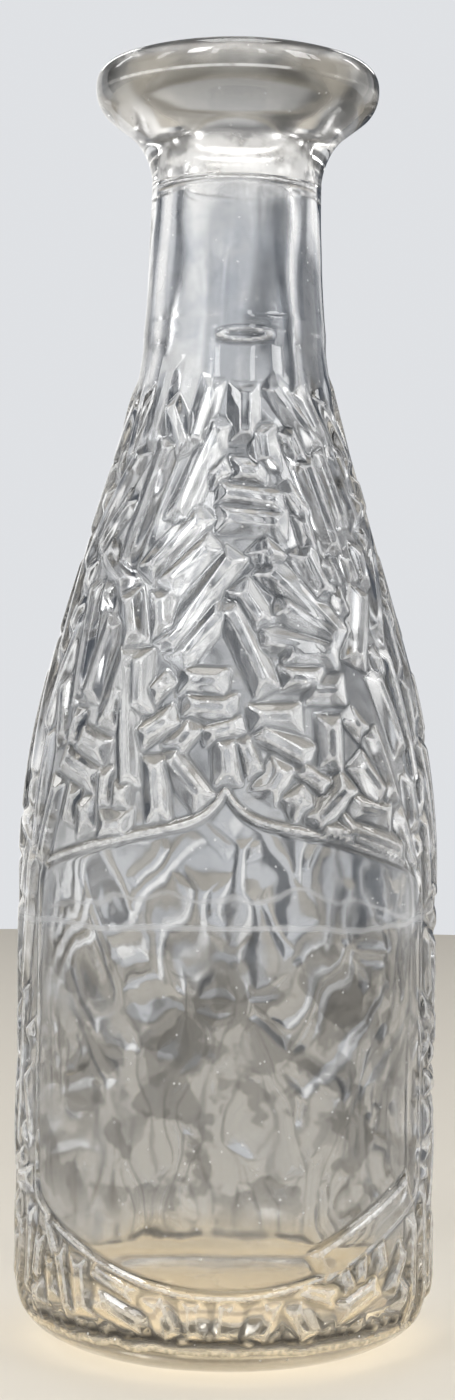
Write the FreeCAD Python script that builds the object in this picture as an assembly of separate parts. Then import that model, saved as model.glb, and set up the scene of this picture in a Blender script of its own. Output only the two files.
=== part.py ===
"""Antique clear glass bottle: a mould-blown body with a smooth front panel, and an applied lip.

Millimetres, +Z up. The origin is the centre of the base, on the plane that the bottle stands on.
The smooth panel faces -Y.
"""
import FreeCAD, Part
import math
import os

# Overall sizes
overall_height = 230.0
body_diameter = 76.0        # over the crests of the moulded relief
neck_diameter = 30.8
lip_diameter = 51.7

# Heights of the parts above the body, between the corners that the outline's straight runs would make
shoulder_height = 72.0
neck_height = 31.5          # up to the neck's cut end, which the lip is laid on
lip_height = 22.0

# Curves of the outline
heel_radius = 14.0
shoulder_radius = 140.0
neck_base_radius = 140.0

# Glass thickness
wall_thickness = 3.9        # over the crests; the neck's bore narrows from here to the mouth's bore
floor_thickness = 5.5
cavity_floor_radius = 14.0

# Base
ring_width = 4.0            # the flat ring that the bottle stands on
kick_up_height = 3.5

# Smooth front panel, sunk to the foot of the relief
relief_height = 1.1
panel_half_angle = 66.0     # degrees either side of the front
panel_bottom_height = 16.0
panel_bottom_rise = 14.0    # from the middle of the panel's foot to its sides
panel_top_drop = 11.5       # below the shoulder's corner
panel_side_drop = 20.0
panel_top_bow = 1.7
cusp_drop = 5.5
cusp_half_width = 13.0
cusp_hollow = 1.9

# Applied lip
mouth_bore_diameter = 19.0
rim_height = 7.2            # the upright edge of the lip, before its corners are rounded
rim_width = 5.0             # the top of the lip, before its corners are rounded
rim_top_radius = 3.8
rim_inner_radius = 2.8
rim_under_radius = 6.0
funnel_depth = 10.4
funnel_radius = 5.0
flare_rise = 8.0            # how far the underside climbs from the neck to the rim
flare_radius = 12.0

# Points of an outline nearer than this are one point
joining_length = 1e-6

# Worked out from the sizes above
body_radius = body_diameter / 2
neck_radius = neck_diameter / 2
lip_radius = lip_diameter / 2
mouth_bore_radius = mouth_bore_diameter / 2
cavity_radius = body_radius - wall_thickness
ring_inner_radius = body_radius - heel_radius - ring_width
joint_height = overall_height - lip_height
neck_corner_height = joint_height - neck_height
shoulder_corner_height = neck_corner_height - shoulder_height
shoulder_angle = math.atan2(body_radius - neck_radius, shoulder_height)


def point(radius, height):
    """A point of a turned outline, in the XZ plane."""
    return FreeCAD.Vector(radius, 0, height)


def tangent_lengths(points, roundings):
    """How far each corner's arc reaches along its runs, limited to the length that the runs have."""
    reach = [0.0] * len(points)
    for i in range(1, len(points) - 1):
        half_corner = (points[i - 1] - points[i]).getAngle(points[i + 1] - points[i]) / 2
        reach[i] = roundings[i] / math.tan(half_corner)
    for i in range(len(points) - 1):
        run = (points[i + 1] - points[i]).Length
        share = min(1.0, run / max(reach[i] + reach[i + 1], run))
        reach[i] *= share
        reach[i + 1] *= share
    return reach


def rounded_outline(corners):
    """Edges through a list of (radius, height, rounding) corners, each rounded by a tangent arc."""
    points = [point(radius, height) for radius, height, rounding in corners]
    reach = tangent_lengths(points, [rounding for radius, height, rounding in corners])
    edges = []
    last = points[0]
    for i in range(1, len(points)):
        into = (points[i - 1] - points[i]).normalize()
        run_end = points[i] + into * reach[i]
        if (run_end - last).Length > joining_length:
            edges.append(Part.LineSegment(last, run_end).toShape())
        last = run_end
        if reach[i] > 0:
            out_of = (points[i + 1] - points[i]).normalize()
            half_corner = into.getAngle(out_of) / 2
            depth = reach[i] / math.cos(half_corner) - reach[i] * math.tan(half_corner)
            arc_middle = points[i] + (into + out_of).normalize() * depth
            last = points[i] + out_of * reach[i]
            edges.append(Part.Arc(run_end, arc_middle, last).toShape())
    return edges


def turned(edges):
    """The solid that a closed outline sweeps about the bottle's axis."""
    face = Part.Face(Part.Wire(edges))
    return face.revolve(FreeCAD.Vector(0, 0, 0), FreeCAD.Vector(0, 0, 1), 360)


def wall_corners(inset):
    """The shoulder's two corners at a depth inside the crests, with the rounding of each."""
    shift = inset * math.tan(shoulder_angle / 2)
    shoulder = (body_radius - inset, shoulder_corner_height - shift, shoulder_radius - inset)
    neck = (neck_radius - inset, neck_corner_height - shift, neck_base_radius + inset)
    return [shoulder, neck]


def outer_form(inset):
    """The body's outside at a depth inside the crests, with a plain flat base."""
    corners = [
        (0, 0, 0),
        (body_radius - inset, 0, heel_radius - inset),
        *wall_corners(inset),
        (neck_radius - inset, joint_height, 0),
        (0, joint_height, 0),
        (0, 0, 0),
    ]
    return turned(rounded_outline(corners))


def cavity():
    """The space inside, from the floor up through the neck, which narrows to the mouth."""
    corners = [
        (0, floor_thickness + kick_up_height, 0),
        (cavity_radius, floor_thickness + kick_up_height, cavity_floor_radius),
        *wall_corners(wall_thickness),
        (mouth_bore_radius, joint_height, 0),
        (0, joint_height, 0),
        (0, floor_thickness + kick_up_height, 0),
    ]
    return turned(rounded_outline(corners))


def kick_up():
    """The shallow dome pushed up into the base, which leaves a ring to stand on."""
    dome_radius = (ring_inner_radius ** 2 + kick_up_height ** 2) / (2 * kick_up_height)
    dome = Part.makeSphere(dome_radius)
    dome.translate(FreeCAD.Vector(0, 0, kick_up_height - dome_radius))
    return dome


def panel_outline():
    """The panel seen from the front: a bowed foot, upright sides and a top that rises to a cusp."""
    side = body_radius * math.sin(math.radians(panel_half_angle))
    foot_left = point(-side, panel_bottom_height + panel_bottom_rise)
    foot_middle = point(0, panel_bottom_height)
    foot_right = point(side, panel_bottom_height + panel_bottom_rise)
    top_right = point(side, shoulder_corner_height - panel_side_drop)
    cusp_right = point(cusp_half_width, shoulder_corner_height - panel_top_drop)
    cusp = point(0, shoulder_corner_height - cusp_drop)
    cusp_left = point(-cusp_half_width, shoulder_corner_height - panel_top_drop)
    top_left = point(-side, shoulder_corner_height - panel_side_drop)
    bow = point(0, panel_top_bow)
    hollow = point(0, -cusp_hollow)
    edges = [
        Part.Arc(foot_left, foot_middle, foot_right).toShape(),
        Part.LineSegment(foot_right, top_right).toShape(),
        Part.Arc(top_right, (top_right + cusp_right) / 2 + bow, cusp_right).toShape(),
        Part.Arc(cusp_right, (cusp_right + cusp) / 2 + hollow, cusp).toShape(),
        Part.Arc(cusp, (cusp + cusp_left) / 2 + hollow, cusp_left).toShape(),
        Part.Arc(cusp_left, (cusp_left + top_left) / 2 + bow, top_left).toShape(),
        Part.LineSegment(top_left, foot_left).toShape(),
    ]
    return Part.Face(Part.Wire(edges))


def panel_recess():
    """The layer of relief that the smooth panel leaves out."""
    slab = panel_outline().extrude(FreeCAD.Vector(0, -body_diameter, 0))
    return slab.cut(outer_form(relief_height))


def bottle_body():
    """The blown body, from its standing ring to the neck's cut end."""
    body = outer_form(0).cut(kick_up()).cut(panel_recess()).cut(cavity())
    return body.Solids[0]


def applied_lip():
    """The ring of glass laid on the neck's end and tooled out into a flared lip."""
    rim_foot = overall_height - rim_height
    corners = [
        (neck_radius, joint_height, 0),
        (neck_radius, rim_foot - flare_rise, flare_radius),
        (lip_radius, rim_foot, rim_under_radius),
        (lip_radius, overall_height, rim_top_radius),
        (lip_radius - rim_width, overall_height, rim_inner_radius),
        (mouth_bore_radius, overall_height - funnel_depth, funnel_radius),
        (mouth_bore_radius, joint_height, 0),
        (neck_radius, joint_height, 0),
    ]
    return turned(rounded_outline(corners))


nodes = {
    "bottle_body": bottle_body(),
    "applied_lip": applied_lip(),
}

os.makedirs("parts", exist_ok=True)
for name, shape in nodes.items():
    shape.exportStep(f"parts/{name}.step")
    box = shape.optimalBoundingBox()
    print(name, len(shape.Solids), shape.isValid(), round(shape.Volume), box)
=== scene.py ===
"""Antique clear glass bottle: the finished look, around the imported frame.

Shapes are worked out in millimetres and turned into metres when a mesh is made. The finish of the glass
and the studio are in metres. Angles go round the bottle's axis from the front, which faces -Y, towards
+X. A lean is in degrees, positive where the top of a stick leans towards +X seen from the front.
"""
import math
import bpy
import numpy as np
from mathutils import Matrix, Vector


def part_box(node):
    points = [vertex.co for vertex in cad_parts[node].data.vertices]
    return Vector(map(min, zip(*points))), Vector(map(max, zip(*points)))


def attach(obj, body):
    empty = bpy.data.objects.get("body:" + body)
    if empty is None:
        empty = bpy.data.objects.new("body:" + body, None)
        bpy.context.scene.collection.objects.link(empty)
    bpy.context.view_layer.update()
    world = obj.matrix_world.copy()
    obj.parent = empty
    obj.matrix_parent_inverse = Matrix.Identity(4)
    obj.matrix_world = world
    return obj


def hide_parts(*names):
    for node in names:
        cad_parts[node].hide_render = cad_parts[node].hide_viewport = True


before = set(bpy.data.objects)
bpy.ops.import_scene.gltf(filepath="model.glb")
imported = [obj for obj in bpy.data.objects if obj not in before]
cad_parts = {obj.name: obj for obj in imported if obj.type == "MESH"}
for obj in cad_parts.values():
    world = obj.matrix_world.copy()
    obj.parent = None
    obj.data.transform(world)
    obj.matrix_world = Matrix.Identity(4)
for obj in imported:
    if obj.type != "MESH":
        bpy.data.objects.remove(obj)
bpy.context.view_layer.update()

MM = 0.001

# Sizes that the frame gives
body_corner_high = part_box("bottle_body")[1] / MM
lip_corner_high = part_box("applied_lip")[1] / MM
body_radius = body_corner_high.x
joint_height = body_corner_high.z
lip_radius = lip_corner_high.x
overall_height = lip_corner_high.z

# Sizes of the body, as built
neck_radius = 15.4
wall_thickness = 3.9
shoulder_corner_height = 104.5
neck_corner_height = 176.5
shoulder_radius = 140.0
heel_radius = 14.0
ring_inner_radius = 20.0
kick_up_height = 3.5
cavity_floor_height = 9.0
cavity_floor_radius = 14.0
mouth_bore_radius = 9.5

# Sizes of the applied lip, as built
rim_height = 7.2
rim_width = 5.0
rim_top_radius = 3.8
rim_inner_radius = 2.8
rim_under_radius = 6.0
funnel_depth = 10.4
funnel_radius = 5.0
flare_rise = 8.0
flare_radius = 12.0

# Moulded relief
relief_height = 1.1
relief_top = 180.0
relief_margin = 3               # the relief's grid reaches this far above its top
relief_fade = (relief_top + 2, relief_top - 18)     # sticks sink into the neck between these heights
neck_step = 0.35                # the neck stands this far above the ground of the relief
neck_step_run = 2
back_softening = 0.3
back_angles = (95, 125)         # the relief softens between these angles
ground_radius = body_radius - relief_height

# Heel, and the crevice above it
heel_top = 6.8
heel_swell = 6                  # the heel swells out over this height
heel_edge_run = 0.5
heel_margin = 1.5               # sticks run out over this height below the heel's top
scallop_depth = 0.3
scallop_turns = 40
scallop_count = 14
crevice_rise = 1.2
crevice_width = 1.1
crevice_shade_relief = (0.45, 0.9)     # painted shade lies in full in the crevice where the relief is below the first height, and not above the second

# Smooth front panel
panel_left_angle = 61.5
panel_right_angle = 66.5
panel_foot_height = 16
panel_foot_radius = 51.9
panel_top_height = 93.4
panel_top_drop = 8.0            # from the middle to the sides
panel_half_width = 34
panel_sharpness = 0.55          # of the corners between the panel's edges
panel_reach = 40                # depths count up to this far from an edge
panel_margin = 1.2              # from the panel's edge to the nearest stick
panel_edge_run = 0.35
cusp_height = 6.0
cusp_place = -0.7
cusp_width = 3.2
bead_height = 0.75
bead_side_drop = 0.45           # the bead is lower by this where the panel's sides are upright
bead_side_foot = (26, 34)
bead_side_top = (92, 84)
bead_place = 0.8                # outside the panel's edge
bead_width = 0.55

# Shape of every stick
stick_ridge = 1.5               # width of the flat along its crest
stick_end_run = 2.3             # length of the slope at its ends
core_share = 0.5                # its core stands above this share of its height
taken_height = 0.3              # ground that stands above this height is taken
narrow_radius = 12              # in angle, the window round a stick is no wider than on this radius

# Sticks listed on the front: (angle, height, lean, length)
front_sticks = [
    (5, 165, 2, 12), (-30, 163, -28, 12), (-16, 165, 12, 14), (-15, 155, 20, 21), (33, 165, -35, 16),
    (38, 149, -11, 19), (15, 159, -4, 9), (7, 155, -85, 7), (8, 150, -83, 13), (8, 146, -86, 13),
    (-15, 138, 45, 13), (-23, 130, -11, 9), (-11, 132, 32, 22), (-48, 138, -48, 13), (-35, 129, -18, 11),
    (-35, 118, 11, 13), (-28, 118, -7, 12), (-44, 122, 10, 16), (-10, 126, 38, 14), (5, 124, -24, 18),
    (-8, 118, -87, 9), (-6, 114, -87, 10), (13, 140, -44, 6), (7, 131, -32, 10), (26, 132, -46, 20),
    (26, 128, -60, 14), (22, 125, -82, 16), (31, 137, -24, 11), (47, 128, 22, 16), (25, 123, 89, 11),
    (22, 119, -90, 9), (29, 117, 89, 9), (-30, 111, -8, 23), (-36, 114, 13, 9), (-42, 107, -70, 9),
    (-46, 103, -67, 12), (-42, 95, -12, 7), (-32, 94, 89, 8), (-20, 100, -7, 12), (-12, 102, -39, 12),
    (-1, 105, -4, 9), (13, 112, 88, 10), (15, 108, -62, 12), (29, 108, 3, 10), (47, 104, -20, 14),
    (42, 102, -41, 10), (28, 98, 47, 12), (42, 96, -81, 11), (19, 98, 59, 6), (12, 102, 31, 8),
]
front_widths = (5.0, 6.4)
front_stands = (1.0, 1.25)
front_skews = (-0.1, 0.1)

# Bars and flutes listed round the panel's foot: (angle, height, lean, length, width)
foot_sticks = [
    (-28, 11.5, -68, 12, 4.6), (-30, 16.8, -66, 11, 3.4), (-16, 11.5, -28, 9.5, 5.2),
    (-7.5, 11.5, -4, 9, 5.6), (1.5, 11.5, 4, 9, 5.4), (10.5, 11.5, 20, 9.5, 5.6),
    (21.5, 11, -30, 9, 5.0), (25, 15.4, -72, 9, 3.6), (33.5, 18, -25, 8, 3.4), (39, 20, 0, 9, 3.0),
    (46, 21.5, -15, 10, 3.4), (39, 13.2, 68, 11, 4.4), (-47, 15, -15, 13, 3.6), (-60, 18, 12, 10, 3.6),
    (-53, 24, -20, 12, 3.4), (54, 17, 30, 10, 3.6),
]
foot_stands = (0.9, 1.15)
foot_skews = (-0.12, 0.12)

# Chunky sticks listed above the panel's upper right corner: (angle, height, lean, length, width)
corner_sticks = [(43, 91.3, -72, 17, 5.4), (30, 92.6, -80, 9, 4.0), (57, 90, -25, 14, 5.0)]
corner_stick_stand = 1.1

# The broad flat bar across the panel's lower right corner, laid over its edge
corner_bar = (43, 25, 64, 27)
corner_bar_width = 6.4
corner_bar_ridge = 4.6
corner_bar_stand = 1.0

# The small level facet at the foot of the neck
neck_lens = (6, 179.5, 88, 8.4)
lens_width = 2.0
lens_rim_height = 0.75
lens_rim_width = 0.24           # as a share of the facet's half width

# Crinkles in the crevice above the heel
crinkle_spacing = 5.5
crinkle_shifts = (-1.5, 1.5)
crinkle_rises = (0.6, 1.6)
crinkle_leans = (50, 85)
crinkle_lengths = (3, 5)
crinkle_widths = (1.8, 2.8)
crinkle_stands = (0.6, 1.0)
crinkle_ridge = 0.4

# Sticks that fill in at random: the length and the number of tries of each round
fill_rounds = ((28, 700), (21, 1200), (15, 1800), (11, 2600), (7, 5000))
fill_heights = (heel_top + 4, relief_top - 11)
fill_stretches = (0.8, 1.25)
fill_widths = (4.4, 6.0)
slim_widths = (3.2, 4.4)        # of short sticks above the foot
short_length = 9
fill_stands = (0.9, 1.2)
fill_skews = (-0.1, 0.1)
fill_overlap = 0.1
longest_stick = 40
longest_upper_stick = 16
longest_level_stick = 12
upper_height = 150
level_lean = 65

# Leans of the sticks that fill in
foot_band_height = 30
foot_lean = 25
chevron_height = 95
chevron_leans = ((25, 42), (48, 24), (180, 6))     # a lean within each angle from the front or the back
chevron_spread = 14
level_share = 0.15
level_spread = 10
loose_spread = 30

# Unevenness of hand-worked glass
relief_wave = 0.05
relief_wave_heights = (2, 9)
neck_wave = 0.1
neck_wave_run = 8
neck_step_end = 14              # the neck's step runs out over this height below the joint
lip_wave = 0.16
lip_wave_run = 8
inner_wave = 0.2
inner_wave_height = 25
inner_wave_run = 12
follow_share = 0.3              # the inside follows this share of the blurred relief
follow_blur = 24
middle_relief = 0.5
dimple_depth = 0.12
dimple_angles = (58, 34)        # dimples come in between these angles, towards the front
dimple_turns = 22
dimple_rise = 0.5
dimple_count = 14

# Marks on the meshes
full_crest = 0.06               # an edge that stands this far above its surroundings is a full crest
crest_blur = 4
scuffed = 2.0                   # the mark of the base, which is rougher than the inside
panel_clearing = 0.7            # the inside is this much less rough behind the panel
panel_clearing_run = 3
rim_rings = 8                   # rings past the rim's top that still count as outside

# Seeds of the random draws
fill_seed = 7
relief_wave_seed = 3
neck_wave_seed = 4
inner_wave_seed = 5
lip_wave_seed = 6
scallop_seed = 8
dimple_seed = 9

# Mesh fineness
relief_columns = 768
smooth_columns = 384
inner_columns = 192
inner_stride = relief_columns // inner_columns
relief_step = 0.31
inner_step = 1.1
lip_step = 0.45
base_step = 1.5
arc_points = 40
coarse_radius = 12              # rings inside this radius have half the points
coarsest_radius = 5             # rings inside this radius have a quarter of the points
coarse_height = 30              # rings of the inside above this height have all their points
last_ring_radius = 3            # the floor's last ring before the axis
ring_edge_gap = 0.4             # from the standing ring's last row to the heel's first
neck_stride = 2                 # the smooth neck takes every second row of the outline
map_share = 0.98                # the flat map fills this share of its square
map_margin = 0.002
half_map = 0.5

# Glass of the two pieces: it turns from clear to the tint between two heights, less so near the axis
body_finish = {
    "clear": (0.79, 0.795, 0.8),
    "tint": (0.93, 0.8, 0.57),
    "tint_heights": (0.019, 0.005),
    "tint_radii": (0.018, 0.032),
    "inside_roughness": 0.12,
}
lip_finish = {
    "clear": (0.4, 0.39, 0.365),
    "tint": (0.9, 0.89, 0.87),
    "tint_heights": (0.2225, 0.2165),
    "tint_radii": (0, 0.001),
    "inside_roughness": 0.16,
}
axis_tint = 0.75
# painted light: above these heights the rim's top is coloured lighter, as light from above shines through
# it
rim_top_light = 0.95
rim_top_light_heights = (0.2262, 0.2282)
refraction = 1.51
base_roughness = 0.02
smear_roughness = 0.07
ripple_strength = 0.5
ripple_height = 0.00012
lamp_share = (0.85, 0.85, 0.85, 1)      # share of the lamps' light that each surface lets through

# Haze: how much light is scattered, not let through
base_haze = 0.012
# worn crests, partly painted highlights: the crests are hazed white, standing in for lamp glints along
# the ridges
crest_wear_and_highlight_haze = 0.45
smear_haze = 0.04
speck_haze = 0.4
tide_haze = 0.45
# painted highlight: haze of the white line round the rim
rim_highlight_haze = 0.45
# painted glare: the band inside the lip's throat is hazed white
throat_glare_haze = 0.6
heel_haze = 0.08
crevice_shade_haze = 0.75
cloud_haze = 0.2
inside_haze_share = 0.3
grain_shares = (0.6, 1.4)

# Colours laid over the glass's own, several of them painted light and shade
# painted shade: the relief's recesses are coloured darker and bluish, as shade
recess_shade = 0.75
recess_shade_colour = (0.1, 0.107, 0.115, 1)
# painted shade of the crevice above the heel
crevice_shade_colour = (0.035, 0.03, 0.025, 1)
# painted reflection: dark grey patches inside the lower body stand for reflections of dark things
dark_reflection_colour = (0.27, 0.27, 0.27, 1)
cloud_colour = (0.5, 0.53, 0.58, 1)
# white of the specks, and of the painted glare in the throat and the painted highlight line on the rim
specks_and_highlights_colour = (0.97, 0.97, 0.97, 1)

# Where it lies: heights over which a band comes in and goes out, and the places of the two lines
# painted glare: the white band inside the lip's throat
throat_glare_band = ((0.2055, 0.209), (0.219, 0.2155))
cloud_band = ((0.165, 0.185), (0.207, 0.203))
dark_reflection_band = ((0.022, 0.035), (0.079, 0.064))
heel_haze_heights = (0.01, 0.004)
tide_height = 0.0766
tide_wobble = 0.004
tide_widths = (0.0009, 0.0002)
# painted highlight: a thin white line round the outside of the rim
rim_highlight_height = 0.2243
rim_highlight_widths = (0.00045, 0.0001)

# Patches: the scale and the detail of their noise, and the values between which they come in
smear_noise = (60.0, 6.0)
smear_edge = (0.45, 0.75)
grain_noise = (900.0, 3.0)
grain_edge = (0.3, 0.7)
streak_noise = (180.0, 4.0)
streak_edge = (0.38, 0.62)
least_streak = 0.15
cloud_noise = (130.0, 6.0)
cloud_edge = (0.35, 0.7)
dark_reflection_noise = (105.0, 3.0)
dark_reflection_edge = (0.51, 0.56)
tide_noise = (70.0, 2.0)
ripple_noise = (140.0, 2.0)
speck_scale = 330.0
speck_edge = (0.085, 0.05)
crest_edge = (0.5, 1.0)
recess_edge = (-0.1, -1.0)
full_inside = 0.1

# Studio
backdrop_colour = (0.74, 0.755, 0.78, 1)
bright_colour = (1.3, 1.29, 1.27, 1)
dark_colour = (0.03, 0.043, 0.065, 1)
ceiling_colour = (0.15, 0.155, 0.165, 1)
ceiling_slopes = (0.28, 0.45)           # upward share of a direction where the ceiling comes in
flank_count = 4.0
bright_edge = (0.38, 0.6)
dark_edge = (-0.38, -0.6)
floor_radius = 0.78
floor_points = 128
floor_colour = (0.72, 0.668, 0.578, 1)
floor_roughness = 0.8

# Lamps: (name, place, size, power), then the ring of wands round the bottle
lamps = [
    ("key", (-0.5, -0.6, 0.85), (0.25, 0.4), 4.6),
    ("fill", (0.65, -0.45, 0.7), (0.2, 0.4), 2.0),
    ("top", (0.0, 0.1, 1.0), (0.4, 0.4), 2.0),
]
wand_count = 8
wand_distance = 0.85
wand_height = 0.72
wand_size = (0.1, 0.34)
wand_power = 0.6

# Camera
camera_place = (-0.00046, -0.446, 0.1153)
camera_roll = -0.75
camera_lens = 63.0
camera_sensor = 36.0

random = np.random.default_rng(fill_seed)


def smooth_step(low, high, value):
    """0 below low, 1 above high, and an easy curve between; the other way round if low is above high."""
    share = np.clip((value - low) / (high - low), 0, 1)
    return share * share * (3 - 2 * share)


def unit(vector):
    """A vector's direction."""
    return vector / np.linalg.norm(vector)


def rounded_outline(corners, step):
    """Evenly spaced (radius, height) points along runs between corners, each rounded by an arc."""
    points = [np.array(corner[:2], float) for corner in corners]
    path = [points[0]]
    for i in range(1, len(points) - 1):
        into = unit(points[i - 1] - points[i])
        out_of = unit(points[i + 1] - points[i])
        half_corner = math.acos(np.clip(into @ out_of, -1, 1)) / 2
        rounding = corners[i][2]
        centre = points[i] + unit(into + out_of) * rounding / math.sin(half_corner)
        spoke = points[i] + into * rounding / math.tan(half_corner) - centre
        turn = math.pi - 2 * half_corner
        if into[0] * out_of[1] - into[1] * out_of[0] > 0:
            turn = -turn
        for share in np.linspace(0, 1, arc_points):
            c, s = math.cos(turn * share), math.sin(turn * share)
            path.append(centre + np.array((c * spoke[0] - s * spoke[1], s * spoke[0] + c * spoke[1])))
    path.append(points[-1])
    path = np.array(path)
    along = np.concatenate(([0], np.cumsum(np.linalg.norm(np.diff(path, axis=0), axis=1))))
    places = np.linspace(0, along[-1], max(2, round(along[-1] / step) + 1))
    return np.stack([np.interp(places, along, path[:, 0]), np.interp(places, along, path[:, 1])], axis=1)


def outline_normals(outline):
    """Unit normals to the right of an outline's direction, which is outwards on a climbing wall."""
    along = np.gradient(outline, axis=0)
    along /= np.linalg.norm(along, axis=1)[:, None]
    return np.stack([along[:, 1], -along[:, 0]], axis=1)


def column_angles(columns):
    """Angles of a ring's points, from the front round towards +X."""
    return np.arange(columns) * 2 * math.pi / columns


def soft_waves(angle, height, seed, most_turns=8, most_rise=0.22, count=9):
    """Slow unevenness of hand-worked glass, mostly between -1 and 1, that closes round the bottle."""
    source = np.random.default_rng(seed)
    total = 0
    for _ in range(count):
        turns = source.integers(0, most_turns)
        rise = source.uniform(-most_rise, most_rise)
        phase = source.uniform(0, 2 * math.pi)
        total = total + np.cos(turns * angle + rise * height + phase)
    return total / math.sqrt(count)


# The outside of the body, from the flat ring that it stands on to the neck's cut end
shoulder_angle = math.atan2(body_radius - neck_radius, neck_corner_height - shoulder_corner_height)
shoulder_shift = relief_height * math.tan(shoulder_angle / 2)
outer_outline = rounded_outline(
    [
        (body_radius - heel_radius, 0, 0),
        (ground_radius, 0, heel_radius - relief_height),
        (ground_radius, shoulder_corner_height - shoulder_shift, shoulder_radius),
        (neck_radius, neck_corner_height, shoulder_radius),
        (neck_radius, joint_height, 0),
    ],
    relief_step,
)
outer_normals = outline_normals(outer_outline)

# The grid that the relief is laid on: rows up the outline and columns round the axis
relief_rows = int(np.searchsorted(outer_outline[:, 1], relief_top + relief_margin))
row_radius = outer_outline[:relief_rows, 0]
row_height = outer_outline[:relief_rows, 1]
row_along = np.arange(relief_rows) * np.linalg.norm(outer_outline[2] - outer_outline[1])
relief_angle = column_angles(relief_columns)
signed_angle = np.degrees((relief_angle + math.pi) % (2 * math.pi) - math.pi)


def nearest_row(height):
    """The row of the relief's grid at a height, or the grid's last row."""
    return int(np.clip(np.searchsorted(row_height, height), 0, relief_rows - 1))


def stick_window(angle, height, lean, length, width):
    """The part of the relief grid near a stick, with distances along and across the stick there."""
    middle = nearest_row(height)
    reach = length / 2 + width
    span = math.ceil(reach / (row_along[1] - row_along[0]))
    rows = np.arange(max(0, middle - span), min(relief_rows, middle + span + 1))
    half_turn = math.ceil(reach / max(row_radius[middle], narrow_radius) / (2 * math.pi) * relief_columns)
    first = round(angle / 360 * relief_columns)
    columns = (first + np.arange(-half_turn, half_turn + 1)) % relief_columns
    turn = (signed_angle[columns] - angle + 180) % 360 - 180
    round_way = np.radians(turn)[None, :] * row_radius[rows][:, None]
    up_way = (row_along[rows] - row_along[middle])[:, None]
    c, s = math.cos(math.radians(lean)), math.sin(math.radians(lean))
    return np.ix_(rows, columns), up_way * c + round_way * s, round_way * c - up_way * s


def stick_shape(along, across, length, width, stand, skew, ridge):
    """Height of a ridged stick with sloping ends, above the ground of the relief."""
    left = width * (0.5 + skew) - ridge / 2
    right = width * (0.5 - skew) - ridge / 2
    aside = across - skew * width
    fall = np.where(aside < 0, (-aside - ridge / 2) / left, (aside - ridge / 2) / right)
    end_fall = (np.abs(along) - length / 2 + stick_end_run) / stick_end_run
    return stand * (1 - np.maximum(np.maximum(fall, end_fall), 0))


def lay_stick(relief, stick, width, stand, skew, most_covered=1.0, ridge=stick_ridge):
    """Adds a stick to the relief if little enough of its place is taken already."""
    window, along, across = stick_window(*stick, width)
    shape = stick_shape(along, across, stick[3], width, stand, skew, ridge)
    there = relief[window]
    core = shape > core_share * stand
    if core.any() and (there[core] > taken_height).mean() <= most_covered:
        relief[window] = np.maximum(there, shape)


def lay_by_hand(relief):
    """The sticks whose places were chosen one by one."""
    for stick in front_sticks:
        width = random.uniform(*front_widths)
        stand = random.uniform(*front_stands)
        lay_stick(relief, stick, width, stand, random.uniform(*front_skews))
    for *stick, width in foot_sticks:
        stand = random.uniform(*foot_stands)
        lay_stick(relief, stick, width, stand, random.uniform(*foot_skews))
    for *stick, width in corner_sticks:
        lay_stick(relief, stick, width, corner_stick_stand, 0.0)


def lay_crinkles(relief):
    """Small uneven lumps in the crevice above the heel."""
    for angle in np.arange(-180, 180, crinkle_spacing):
        place = angle + random.uniform(*crinkle_shifts)
        height = heel_top + random.uniform(*crinkle_rises)
        lean = random.choice((-1, 1)) * random.uniform(*crinkle_leans)
        length = random.uniform(*crinkle_lengths)
        width = random.uniform(*crinkle_widths)
        stand = random.uniform(*crinkle_stands)
        lay_stick(relief, (place, height, lean, length), width, stand, 0, ridge=crinkle_ridge)


def chosen_lean(angle, height):
    """The lean of a stick that fills in: chevrons at the shoulder's front and back, looser below."""
    if height < foot_band_height:
        return random.uniform(-foot_lean, foot_lean)
    if height > chevron_height:
        side = 1 if angle < 0 else -1
        from_middle = min(abs(angle), 180 - abs(angle))
        middle_lean = next(lean for reach, lean in chevron_leans if from_middle < reach)
        return side * random.normal(middle_lean, chevron_spread)
    if random.random() < level_share:
        return 90 + random.normal(0, level_spread)
    return random.normal(0, loose_spread)


def greatest_length(lean, height):
    """The most that a stick that fills in may measure: less where it lies level, and near the neck."""
    if abs(lean) > level_lean:
        return longest_level_stick
    if height > upper_height:
        return longest_upper_stick
    return longest_stick


def fill_in(relief):
    """Sticks laid at random where there is room, the longest first."""
    for round_length, tries in fill_rounds:
        for _ in range(tries):
            height = random.uniform(*fill_heights)
            angle = random.uniform(-180, 180)
            lean = chosen_lean(angle, height)
            length = min(round_length * random.uniform(*fill_stretches), greatest_length(lean, height))
            broad = round_length > short_length or height < foot_band_height
            width = random.uniform(*(fill_widths if broad else slim_widths))
            stand = random.uniform(*fill_stands)
            skew = random.uniform(*fill_skews)
            lay_stick(relief, (angle, height, lean, length), width, stand, skew, fill_overlap)


def lay_lens(relief):
    """The thin raised rim of the small facet at the foot of the neck."""
    window, along, across = stick_window(*neck_lens, lens_width)
    from_rim = np.hypot(along * 2 / neck_lens[3], across * 2 / lens_width) - 1
    rim = lens_rim_height * np.exp(-(from_rim / lens_rim_width) ** 2)
    relief[window] = np.maximum(relief[window], rim)


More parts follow.
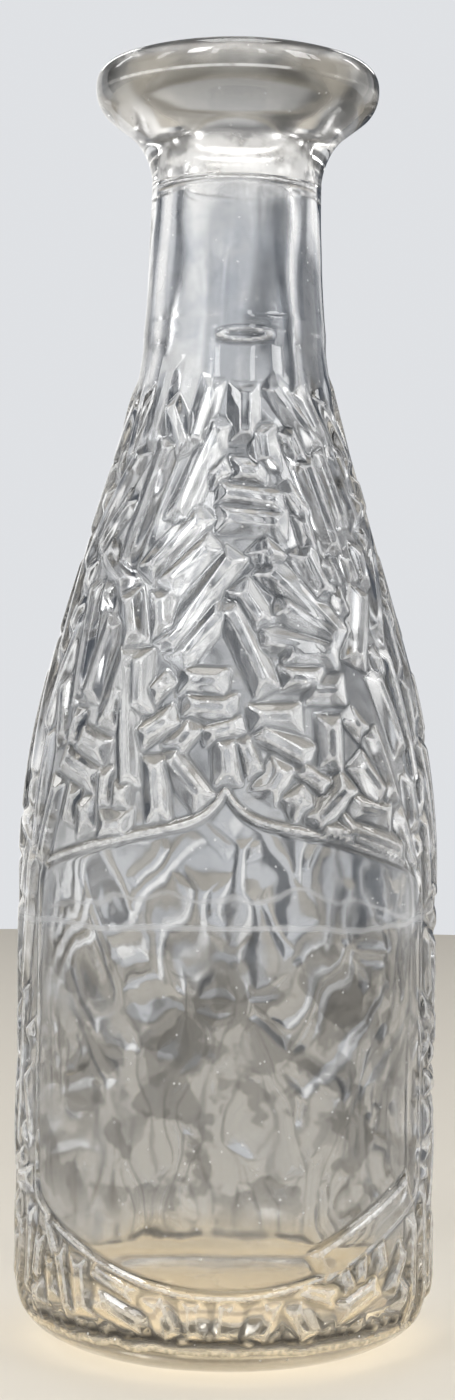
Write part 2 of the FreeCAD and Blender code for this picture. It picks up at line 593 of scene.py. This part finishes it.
def make_panel_depth():
    """How far each point of the relief lies inside the smooth panel's outline, in millimetres."""
    across = body_radius * np.sin(np.radians(np.clip(signed_angle, -90, 90)))[None, :]
    height = row_height[:, None]
    from_left, from_right = signed_angle + panel_left_angle, panel_right_angle - signed_angle
    side = (np.where(signed_angle < 0, from_left, from_right) * math.radians(ground_radius))[None, :]
    foot_bow = np.sqrt(np.maximum(panel_foot_radius ** 2 - across ** 2, 1))
    foot = height - (panel_foot_height + panel_foot_radius - foot_bow)
    cusp = cusp_height * np.exp(-np.abs(across - cusp_place) / cusp_width)
    top = panel_top_height - panel_top_drop * (across / panel_half_width) ** 2 + cusp - height
    total = 0
    for depth in (side, foot, top):
        total = total + np.exp(-panel_sharpness * np.clip(depth, -panel_reach, panel_reach))
    return -np.log(total) / panel_sharpness


def blurred(field, times):
    """A field smoothed by a small window, round the bottle and up it."""
    for _ in range(times):
        field = (np.roll(field, 1, 1) + 2 * field + np.roll(field, -1, 1)) / 4
        padded = np.pad(field, ((1, 1), (0, 0)), mode="edge")
        field = (padded[:-2] + 2 * padded[1:-1] + padded[2:]) / 4
    return field


def panel_bead():
    """The bead along the panel's edge, lower where the panel's sides are upright."""
    upright = smooth_step(*bead_side_foot, row_height) * smooth_step(*bead_side_top, row_height)
    crown = (bead_height - bead_side_drop * upright)[:, None]
    return crown * np.exp(-((panel_depth + bead_place) / bead_width) ** 2)


def heel_roll(height):
    """The plain heel, whose top edge is scalloped."""
    waves = soft_waves(relief_angle, 0, scallop_seed, scallop_turns, 0, scallop_count)
    edge = (heel_top + scallop_depth * waves)[None, :]
    below = 1 - smooth_step(edge - heel_edge_run, edge + heel_edge_run, height)
    return relief_height * below * smooth_step(0, heel_swell, height)


def make_relief():
    """Height of the moulded relief above its ground, on the relief grid."""
    height = row_height[:, None]
    relief = np.zeros((relief_rows, relief_columns))
    lay_by_hand(relief)
    lay_crinkles(relief)
    relief = np.maximum(relief, np.where(panel_depth > -panel_margin, 1.0, 0.0))
    fill_in(relief)
    outside = 1 - smooth_step(-panel_edge_run, panel_edge_run, panel_depth)
    relief = np.maximum(relief * outside * (panel_depth < -panel_margin), panel_bead())
    relief = relief * (1 - back_softening * smooth_step(*back_angles, np.abs(signed_angle))[None, :])
    lay_stick(relief, corner_bar, corner_bar_width, corner_bar_stand, 0.0, ridge=corner_bar_ridge)
    relief = relief * smooth_step(*relief_fade, height)
    relief = relief * smooth_step(heel_top - heel_margin, heel_top, height)
    neck = neck_step * smooth_step(relief_top - neck_step_run, relief_top + neck_step_run, height)
    relief = np.maximum(np.maximum(relief, heel_roll(height)), neck)
    lay_lens(relief)
    return blurred(relief, 1)


# The relief, its crests (worn, partly painted highlights) and recesses (painted shade), and the crevice's
# painted shade
panel_depth = make_panel_depth()
relief = make_relief()
crest = np.clip((relief - blurred(relief, crest_blur)) / full_crest, -1, 1)
# painted shade: the crevice above the heel is coloured dark and hazed where the relief is low
crevice = np.exp(-((row_height - heel_top - crevice_rise) / crevice_width) ** 2)[:, None]
crevice_shade = crevice * (1 - smooth_step(*crevice_shade_relief, relief))


def ring_points(radius, height, columns, crest=0.0, inside=0.0, crevice_shade=0.0):
    """Points of one ring about the axis, each marked as crest (1) or recess (-1), inside, and painted
    shade in the crevice.
    """
    angle = column_angles(columns)
    ones = np.ones(columns)
    across, away = radius * np.sin(angle), -radius * np.cos(angle)
    return np.stack([across, away, height * ones, crest * ones, inside * ones, crevice_shade * ones], axis=1)


def quads_between(low, high, count):
    """Quads between two rings of as many points, given the number of each ring's first point."""
    j = np.arange(count)
    after = (j + 1) % count
    return np.stack([low + j, low + after, high + after, high + j], axis=1)


def fan_between(low, high, low_count, high_count):
    """Triangles between a ring and a lone point."""
    j = np.arange(max(low_count, high_count))
    after = (j + 1) % len(j)
    lone = np.zeros(len(j), int)
    if low_count == 1:
        return np.stack([low + lone, high + after, high + j], axis=1)
    return np.stack([low + j, low + after, high + lone], axis=1)


def halving_between(low, high, low_count, high_count):
    """Triangles between two rings, one of which has twice the points of the other."""
    j = np.arange(min(low_count, high_count))
    after = (j + 1) % len(j)
    near, mid, far = 2 * j, 2 * j + 1, (2 * j + 2) % (2 * len(j))
    if high_count > low_count:
        triangles = [
            (low + j, high + mid, high + near),
            (low + j, low + after, high + mid),
            (low + after, high + far, high + mid),
        ]
    else:
        triangles = [
            (low + near, low + mid, high + j),
            (low + mid, high + after, high + j),
            (low + mid, low + far, high + after),
        ]
    return np.concatenate([np.stack(corners, axis=1) for corners in triangles])


def join_rings(rings, closed):
    """Faces between rings in turn: the quads, the triangles and the number of each face's ring."""
    counts = [len(ring) for ring in rings]
    starts = np.concatenate(([0], np.cumsum(counts)))
    quads, quad_ring = [], []
    triangles, triangle_ring = [np.zeros((0, 3), int)], []
    for i in range(len(rings) if closed else len(rings) - 1):
        k = (i + 1) % len(rings)
        if counts[i] == counts[k]:
            quads.append(quads_between(starts[i], starts[k], counts[i]))
            quad_ring.append(np.full(counts[i], i))
            continue
        between = fan_between if 1 in (counts[i], counts[k]) else halving_between
        triangles.append(between(starts[i], starts[k], counts[i], counts[k]))
        triangle_ring.append(np.full(len(triangles[-1]), i))
    return np.concatenate(quads), np.concatenate(triangles), np.concatenate(quad_ring + triangle_ring)


def lay_map(mesh, rings, corners, sizes):
    """A flat map of the mesh: across it the angle round the axis, and up it the number of the ring."""
    across = np.concatenate([np.arange(len(ring)) / len(ring) for ring in rings])
    up = np.concatenate([np.full(len(ring), i / len(rings)) for i, ring in enumerate(rings)])
    lone = np.concatenate([np.full(len(ring), len(ring) == 1) for ring in rings])
    face = np.repeat(np.arange(len(sizes)), sizes)
    places = np.stack([across[corners], up[corners]], axis=1)
    for way in range(2):
        furthest = np.zeros(len(sizes))
        np.maximum.at(furthest, face, places[:, way])
        places[:, way] += (furthest[face] - places[:, way]) > half_map
    beside = np.zeros(len(sizes))
    np.add.at(beside, face, np.where(lone[corners], 0, places[:, 0]))
    places[:, 0] = np.where(lone[corners], beside[face] / 2, places[:, 0])
    layer = mesh.uv_layers.new(name="OFBake")
    layer.data.foreach_set("uv", (places * map_share + map_margin).ravel())


def ring_mesh(name, rings, joint_ring, closed=False):
    """A closed glass mesh through rings; the faces after joint_ring are its joint with its neighbour."""
    quads, triangles, face_ring = join_rings(rings, closed)
    points = np.concatenate(rings)
    corners = np.concatenate([quads.ravel(), triangles.ravel()])
    sizes = np.concatenate([np.full(len(quads), 4), np.full(len(triangles), 3)])
    starts = np.concatenate(([0], np.cumsum(sizes)[:-1]))
    mesh = bpy.data.meshes.new(name)
    mesh.vertices.add(len(points))
    mesh.vertices.foreach_set("co", (points[:, :3] * MM).ravel())
    mesh.loops.add(len(corners))
    mesh.loops.foreach_set("vertex_index", corners.astype(np.int32))
    mesh.polygons.add(len(sizes))
    mesh.polygons.foreach_set("loop_start", starts.astype(np.int32))
    mesh.polygons.foreach_set("use_smooth", face_ring != joint_ring)
    mesh.polygons.foreach_set("material_index", (face_ring == joint_ring).astype(np.int32))
    mesh.update(calc_edges=True)
    mesh.validate()
    lay_map(mesh, rings, corners, sizes)
    for column, mark in ((3, "crest"), (4, "inside"), (5, "crevice_shade")):
        mesh.attributes.new(mark, "FLOAT", "POINT").data.foreach_set("value", points[:, column])
    piece = bpy.data.objects.new(name, mesh)
    bpy.context.collection.objects.link(piece)
    return piece


def thinning(radius):
    """How many times fewer points a ring has near the axis."""
    if radius < coarsest_radius:
        return 4
    return 2 if radius < coarse_radius else 1


def base_rings():
    """The dome pushed up into the base, and the flat ring round it."""
    dome_radius = (ring_inner_radius ** 2 + kick_up_height ** 2) / (2 * kick_up_height)
    rings = [ring_points(0, kick_up_height, 1, inside=scuffed)]
    for radius in np.arange(base_step, ring_inner_radius, base_step):
        columns = inner_columns // thinning(radius)
        drop = dome_radius - math.sqrt(dome_radius ** 2 - radius ** 2)
        rings.append(ring_points(radius, kick_up_height - drop, columns, inside=scuffed))
    rings.append(ring_points(ring_inner_radius, 0, inner_columns, inside=scuffed))
    rings.append(ring_points(body_radius - heel_radius - ring_edge_gap, 0, smooth_columns))
    return rings


def relief_rings():
    """The outside up to the foot of the neck, with its moulded relief."""
    rings = []
    waves = soft_waves(relief_angle[None, :], row_height[:, None], relief_wave_seed)
    for i in range(relief_rows):
        stand = relief[i] + relief_wave * waves[i] * smooth_step(*relief_wave_heights, row_height[i])
        radius = row_radius[i] + stand * outer_normals[i, 0]
        height = row_height[i] + stand * outer_normals[i, 1]
        rings.append(ring_points(radius, height, relief_columns, crest[i], crevice_shade=crevice_shade[i]))
    return rings


def neck_rings():
    """The smooth neck above the relief, up to its cut end."""
    rings = []
    angle = column_angles(smooth_columns)
    for radius, height in outer_outline[relief_rows::neck_stride]:
        free = smooth_step(joint_height, joint_height - neck_wave_run, height)
        wave = neck_wave * soft_waves(angle, height, neck_wave_seed) * free
        step = neck_step * smooth_step(joint_height, joint_height - neck_step_end, height)
        rings.append(ring_points(radius + wave + step, height, smooth_columns))
    rings.append(ring_points(neck_radius, joint_height, smooth_columns))
    return rings


def inner_outline():
    """The cavity's outline, from the neck's cut end down and in to the floor's last ring."""
    shift = wall_thickness * math.tan(shoulder_angle / 2)
    cavity_radius = body_radius - wall_thickness
    corners = [
        (mouth_bore_radius, joint_height, 0),
        (neck_radius - wall_thickness, neck_corner_height - shift, shoulder_radius + wall_thickness),
        (cavity_radius, shoulder_corner_height - shift, shoulder_radius - wall_thickness),
        (cavity_radius, cavity_floor_height, cavity_floor_radius),
        (last_ring_radius, cavity_floor_height, 0),
    ]
    return rounded_outline(corners, inner_step)


def inner_rings():
    """The inside, from the neck's cut end down to the floor, following the relief a little."""
    angle = column_angles(inner_columns)
    followed = blurred(relief, follow_blur)[:, ::inner_stride]
    behind_panel = smooth_step(-panel_clearing_run, panel_clearing_run, panel_depth[:, ::inner_stride])
    hazed = 1 - panel_clearing * behind_panel
    central = smooth_step(*dimple_angles, np.abs(signed_angle[::inner_stride]))
    rings = []
    for radius, height in inner_outline():
        row = nearest_row(height)
        above_floor = smooth_step(cavity_floor_height, inner_wave_height, height)
        share = above_floor * smooth_step(joint_height, joint_height - inner_wave_run, height)
        waves = soft_waves(angle, height, inner_wave_seed)
        dimples = soft_waves(angle, height, dimple_seed, dimple_turns, dimple_rise, dimple_count)
        stand = follow_share * (followed[row] - middle_relief) + inner_wave * waves
        stand = stand + dimple_depth * (1 - hazed[row]) * central * dimples
        every = 1 if height > coarse_height else thinning(radius)
        radii = (radius + stand * share)[::every]
        rings.append(ring_points(radii, height, inner_columns // every, inside=hazed[row][::every]))
    rings.append(ring_points(0, cavity_floor_height, 1, inside=1))
    return rings


def make_body():
    """The blown body, one closed mesh of glass."""
    rings = base_rings() + relief_rings() + neck_rings()
    joint_ring = len(rings) - 1
    return ring_mesh("bottle_body_glass", rings + inner_rings(), joint_ring)


def make_lip():
    """The applied lip, one closed mesh of glass."""
    rim_foot = overall_height - rim_height
    outline = rounded_outline(
        [
            (neck_radius, joint_height, 0),
            (neck_radius, rim_foot - flare_rise, flare_radius),
            (lip_radius, rim_foot, rim_under_radius),
            (lip_radius, overall_height, rim_top_radius),
            (lip_radius - rim_width, overall_height, rim_inner_radius),
            (mouth_bore_radius, overall_height - funnel_depth, funnel_radius),
            (mouth_bore_radius, joint_height, 0),
        ],
        lip_step,
    )
    angle = column_angles(smooth_columns)
    last_outside = int(np.argmax(outline[:, 1])) + rim_rings
    rings = []
    for i, (radius, height) in enumerate(outline):
        free = smooth_step(joint_height, joint_height + lip_wave_run, height)
        wave = lip_wave * soft_waves(angle, height, lip_wave_seed) * free
        bore = 1.0 if i > last_outside else 0.0
        rings.append(ring_points(radius + wave, height, smooth_columns, inside=bore))
    return ring_mesh("applied_lip_glass", rings, len(rings) - 1, closed=True)


class Shading:
    """A material's or the world's node tree, with short calls that add and link its nodes."""

    def __init__(self, owner):
        owner.use_nodes = True
        self.nodes = owner.node_tree.nodes
        self.links = owner.node_tree.links

    def add(self, kind, inputs=None, **settings):
        """A node with its settings; an input is a constant or another node's output."""
        node = self.nodes.new(kind)
        for name, value in settings.items():
            setattr(node, name, value)
        for name, value in (inputs or {}).items():
            self.feed(node.inputs[name], value)
        return node

    def feed(self, socket, value):
        """Links an output to a socket, or sets the socket's constant value."""
        if isinstance(value, bpy.types.NodeSocket):
            self.links.new(value, socket)
        else:
            socket.default_value = value

    def math(self, operation, *values):
        """One operation on one or more values."""
        return self.add("ShaderNodeMath", dict(enumerate(values)), operation=operation).outputs[0]

    def product(self, first, *others):
        """Several values multiplied."""
        for value in others:
            first = self.math("MULTIPLY", first, value)
        return first

    def weighted(self, start, *parts):
        """A start value, and each (value, weight) of the parts added to it."""
        for value, weight in parts:
            start = self.math("MULTIPLY_ADD", value, weight, start)
        return start

    def ramp(self, value, low, high, start=0.0, end=1.0):
        """An easy change from start to end as a value goes from low to high."""
        inputs = {"Value": value, "From Min": low, "From Max": high, "To Min": start, "To Max": end}
        return self.add("ShaderNodeMapRange", inputs, interpolation_type="SMOOTHSTEP").outputs["Result"]

    def mix(self, share, first, second):
        """A colour between two colours, whose sockets are the colour ones of the node's several kinds."""
        node = self.add("ShaderNodeMix", data_type="RGBA")
        for number, value in ((0, share), (6, first), (7, second)):
            self.feed(node.inputs[number], value)
        return node.outputs[2]


class GlassShading(Shading):
    """The glass of one piece: where each point is, what its mesh marks there, how it is worn, and its
    painted light and shade.
    """

    def __init__(self, material):
        super().__init__(material)
        self.place = self.add("ShaderNodeTexCoord").outputs["Object"]
        self.height = self.add("ShaderNodeSeparateXYZ", {"Vector": self.place}).outputs["Z"]
        self.crest = self.mark("crest")
        self.inside = self.mark("inside")
        self.crevice_shade = self.mark("crevice_shade")
        self.within = self.ramp(self.inside, 0.0, full_inside)
        self.smears = self.ramp(self.noise(smear_noise), *smear_edge)
        self.streaks = self.ramp(self.noise(streak_noise), *streak_edge, least_streak, 1.0)
        # painted glare: a streaky white band inside the lip's throat
        self.throat_glare = self.product(self.band(throat_glare_band), self.streaks, self.within)
        clouds = self.ramp(self.noise(cloud_noise), *cloud_edge)
        self.clouds = self.product(clouds, self.band(cloud_band), self.within)
        seeds = self.add("ShaderNodeTexVoronoi", {"Vector": self.place, "Scale": speck_scale})
        self.specks = self.ramp(seeds.outputs["Distance"], *speck_edge)
        self.rim_highlight = self.painted_rim_highlight()

    def mark(self, name):
        """A value that the mesh carries at its points."""
        return self.add("ShaderNodeAttribute", attribute_name=name).outputs["Fac"]

    def noise(self, scale_and_detail):
        """Noise whose lumps are about one over its scale of a metre across."""
        scale, detail = scale_and_detail
        inputs = {"Vector": self.place, "Scale": scale, "Detail": detail}
        return self.add("ShaderNodeTexNoise", inputs).outputs["Fac"]

    def band(self, heights):
        """1 in a band of heights, which comes in over the first pair and goes out over the second."""
        coming, going = heights
        return self.product(self.ramp(self.height, *coming), self.ramp(self.height, *going))

    def painted_rim_highlight(self):
        """A painted highlight: the thin broken white line round the outside of the rim."""
        from_line = self.math("ABSOLUTE", self.math("SUBTRACT", self.height, rim_highlight_height))
        outside = self.ramp(self.inside, full_inside, 0.0)
        return self.product(self.ramp(from_line, *rim_highlight_widths), self.streaks, outside)

    def tide_line(self):
        """The wavering line round the inside at the height of an old filling."""
        wobble = self.weighted(-tide_wobble / 2 - tide_height, (self.noise(tide_noise), tide_wobble))
        from_tide = self.math("ABSOLUTE", self.math("ADD", self.height, wobble))
        return self.product(self.ramp(from_tide, *tide_widths, 0.0, tide_haze), self.within)

    def tinted(self, clear, tint, tint_heights, tint_radii):
        """The colour of the glass itself, and painted light: the top of the lip's rim is coloured
        lighter.
        """
        level = self.add("ShaderNodeVectorMath", {0: self.place, 1: (1, 1, 0)}, operation="MULTIPLY")
        radius = self.add("ShaderNodeVectorMath", {0: level.outputs[0]}, operation="LENGTH")
        # painted light: the rim's top coloured lighter
        rim = self.ramp(self.height, *rim_top_light_heights, 0.0, rim_top_light)
        banded = self.math("MAXIMUM", self.ramp(self.height, *tint_heights), rim)
        off_axis = self.ramp(radius.outputs["Value"], *tint_radii, axis_tint, 1.0)
        return self.mix(self.product(banded, off_axis), (*clear, 1), (*tint, 1))

    def coloured(self, glass):
        """The colour with clouds and white specks, and painted light and shade: shade in recesses and
        crevice, dark reflections, throat glare, rim highlight.
        """
        # painted shade: a darker colour in the relief's recesses
        recess = self.ramp(self.crest, *recess_edge, 0.0, recess_shade)
        recess_shaded = self.mix(recess, glass, recess_shade_colour)
        # painted reflections: dark grey patches on the inside of the lower body
        patches = self.ramp(self.noise(dark_reflection_noise), *dark_reflection_edge)
        dark_reflections = self.product(patches, self.band(dark_reflection_band), self.within)
        reflection_darkened = self.mix(dark_reflections, recess_shaded, dark_reflection_colour)
        clouded = self.mix(self.clouds, reflection_darkened, cloud_colour)
        # painted shade: the crevice above the heel coloured dark
        crevice_shaded = self.mix(self.crevice_shade, clouded, crevice_shade_colour)
        # white specks, with the painted glare of the throat and the painted highlight line of the rim
        white = self.math("MAXIMUM", self.math("MAXIMUM", self.throat_glare, self.specks), self.rim_highlight)
        return self.mix(white, crevice_shaded, specks_and_highlights_colour)

    def hazed(self):
        """How much light is scattered: by dust, by worn crests that are partly painted highlights, by the
        tide line, clouds and specks, by the painted rim highlight and throat glare, and by the crevice's
        painted shade.
        """
        heel = self.ramp(self.height, *heel_haze_heights)
        # worn crests, and painted highlights along the ridges
        ridge = self.ramp(self.crest, *crest_edge)
        wear_and_highlights = self.weighted(base_haze, (heel, heel_haze), (ridge, crest_wear_and_highlight_haze), (self.smears, smear_haze))
        grain = self.ramp(self.noise(grain_noise), *grain_edge, *grain_shares)
        dust_wear_and_highlights = self.product(wear_and_highlights, grain, self.ramp(self.inside, 0.0, 1.0, 1.0, inside_haze_share))
        deposits = self.weighted(
            self.tide_line(),
            (self.rim_highlight, rim_highlight_haze),
            (self.clouds, cloud_haze),
            (self.specks, speck_haze),
            (self.throat_glare, throat_glare_haze),
        )
        return self.weighted(self.math("ADD", deposits, dust_wear_and_highlights), (self.crevice_shade, crevice_shade_haze))

    def roughness(self, inside_roughness):
        """Smooth outside but for its smears, and rougher inside."""
        smeared = self.weighted(base_roughness, (self.smears, smear_roughness))
        return self.weighted(smeared, (self.inside, inside_roughness))

    def ripples(self):
        """Slight ripples of the surface."""
        bump = self.add("ShaderNodeBump", {"Strength": ripple_strength, "Distance": ripple_height})
        self.feed(bump.inputs["Height"], self.noise(ripple_noise))
        return bump.outputs["Normal"]


def glass_material(name, clear, tint, tint_heights, tint_radii, inside_roughness):
    """Clear old glass, which lets a plain share of the lamps' light through to what it shades."""
    material = bpy.data.materials.new(name)
    glass = GlassShading(material)
    shader = glass.nodes["Principled BSDF"]
    tinted = glass.tinted(clear, tint, tint_heights, tint_radii)
    glass.feed(shader.inputs["Base Color"], glass.coloured(tinted))
    glass.feed(shader.inputs["Transmission Weight"], glass.math("SUBTRACT", 1.0, glass.hazed()))
    glass.feed(shader.inputs["Roughness"], glass.roughness(inside_roughness))
    glass.feed(shader.inputs["Normal"], glass.ripples())
    glass.feed(shader.inputs["IOR"], refraction)
    lamp_ray = glass.add("ShaderNodeLightPath").outputs["Is Shadow Ray"]
    stand_in = glass.add("ShaderNodeBsdfTransparent", {"Color": lamp_share})
    either = glass.add("ShaderNodeMixShader", {0: lamp_ray, 1: shader.outputs[0], 2: stand_in.outputs[0]})
    glass.feed(glass.nodes["Material Output"].inputs["Surface"], either.outputs[0])
    return material


def joint_material():
    """Where the lip is fused to the neck, glass meets glass and light goes straight on."""
    material = bpy.data.materials.new("fused_joint")
    shading = Shading(material)
    shading.nodes.remove(shading.nodes["Principled BSDF"])
    clear = shading.add("ShaderNodeBsdfTransparent")
    shading.feed(shading.nodes["Material Output"].inputs["Surface"], clear.outputs["BSDF"])
    return material


def make_floor():
    """A plain pale floor, whose far edge shows behind the bottle."""
    points = []
    for angle in column_angles(floor_points):
        points.append((floor_radius * math.sin(angle), -floor_radius * math.cos(angle), 0))
    mesh = bpy.data.meshes.new("floor")
    mesh.from_pydata(points, [], [list(range(floor_points))])
    floor = bpy.data.objects.new("floor", mesh)
    bpy.context.collection.objects.link(floor)
    material = bpy.data.materials.new("floor")
    shading = Shading(material)
    shader = shading.nodes["Principled BSDF"]
    shading.feed(shader.inputs["Base Color"], floor_colour)
    shading.feed(shader.inputs["Roughness"], floor_roughness)
    mesh.materials.append(material)


def make_world():
    """A pale backdrop all round, with four brighter and four darker flanks between eight plain bays."""
    world = bpy.data.worlds.new("studio")
    bpy.context.scene.world = world
    shading = Shading(world)
    place = shading.add("ShaderNodeTexCoord").outputs["Generated"]
    split = shading.add("ShaderNodeSeparateXYZ", {"Vector": place})
    azimuth = shading.math("ARCTAN2", split.outputs["Y"], split.outputs["X"])
    aside = shading.math("SINE", shading.math("MULTIPLY", azimuth, flank_count))
    bright = shading.mix(shading.ramp(aside, *bright_edge), backdrop_colour, bright_colour)
    wall = shading.mix(shading.ramp(aside, *dark_edge), bright, dark_colour)
    above = shading.ramp(split.outputs["Z"], *ceiling_slopes)
    shading.feed(shading.nodes["Background"].inputs["Color"], shading.mix(above, wall, ceiling_colour))


def add_lamp(name, place, size, power):
    """A soft upright lamp that faces the bottle and isn't seen by the camera itself."""
    data = bpy.data.lights.new(name, "AREA")
    data.shape = "RECTANGLE"
    data.size, data.size_y = size
    data.energy = power
    lamp = bpy.data.objects.new(name, data)
    lamp.location = place
    aim = Vector((0, 0, 0.12)) - lamp.location
    lamp.rotation_euler = aim.to_track_quat("-Z", "Y").to_euler()
    lamp.visible_camera = False
    bpy.context.collection.objects.link(lamp)


def add_wands():
    """Slim lamps in a ring round the bottle, each before one of the backdrop's flanks."""
    for k in range(wand_count):
        turn = math.radians((k + 0.5) * 360 / wand_count)
        place = (wand_distance * math.sin(turn), -wand_distance * math.cos(turn), wand_height)
        add_lamp(f"wand_{k}", place, wand_size, wand_power)


def make_camera():
    """The camera stands where the photograph was taken from, rolled a little to one side."""
    data = bpy.data.cameras.new("camera")
    data.sensor_width = camera_sensor
    data.lens = camera_lens
    camera = bpy.data.objects.new("camera", data)
    camera.location = camera_place
    camera.rotation_euler = (math.pi / 2, math.radians(camera_roll), 0)
    bpy.context.collection.objects.link(camera)
    bpy.context.scene.camera = camera


# The scene round the bottle
bpy.context.scene.view_settings.view_transform = "Standard"
make_camera()
make_floor()
make_world()
for lamp_settings in lamps:
    add_lamp(*lamp_settings)
add_wands()

# The two pieces of glass
fused = joint_material()
body = make_body()
body.data.materials.append(glass_material("body_glass", **body_finish))
body.data.materials.append(fused)
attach(body, "root")
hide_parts("bottle_body")

lip = make_lip()
lip.data.materials.append(glass_material("lip_glass", **lip_finish))
lip.data.materials.append(fused)
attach(lip, "root")
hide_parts("applied_lip")
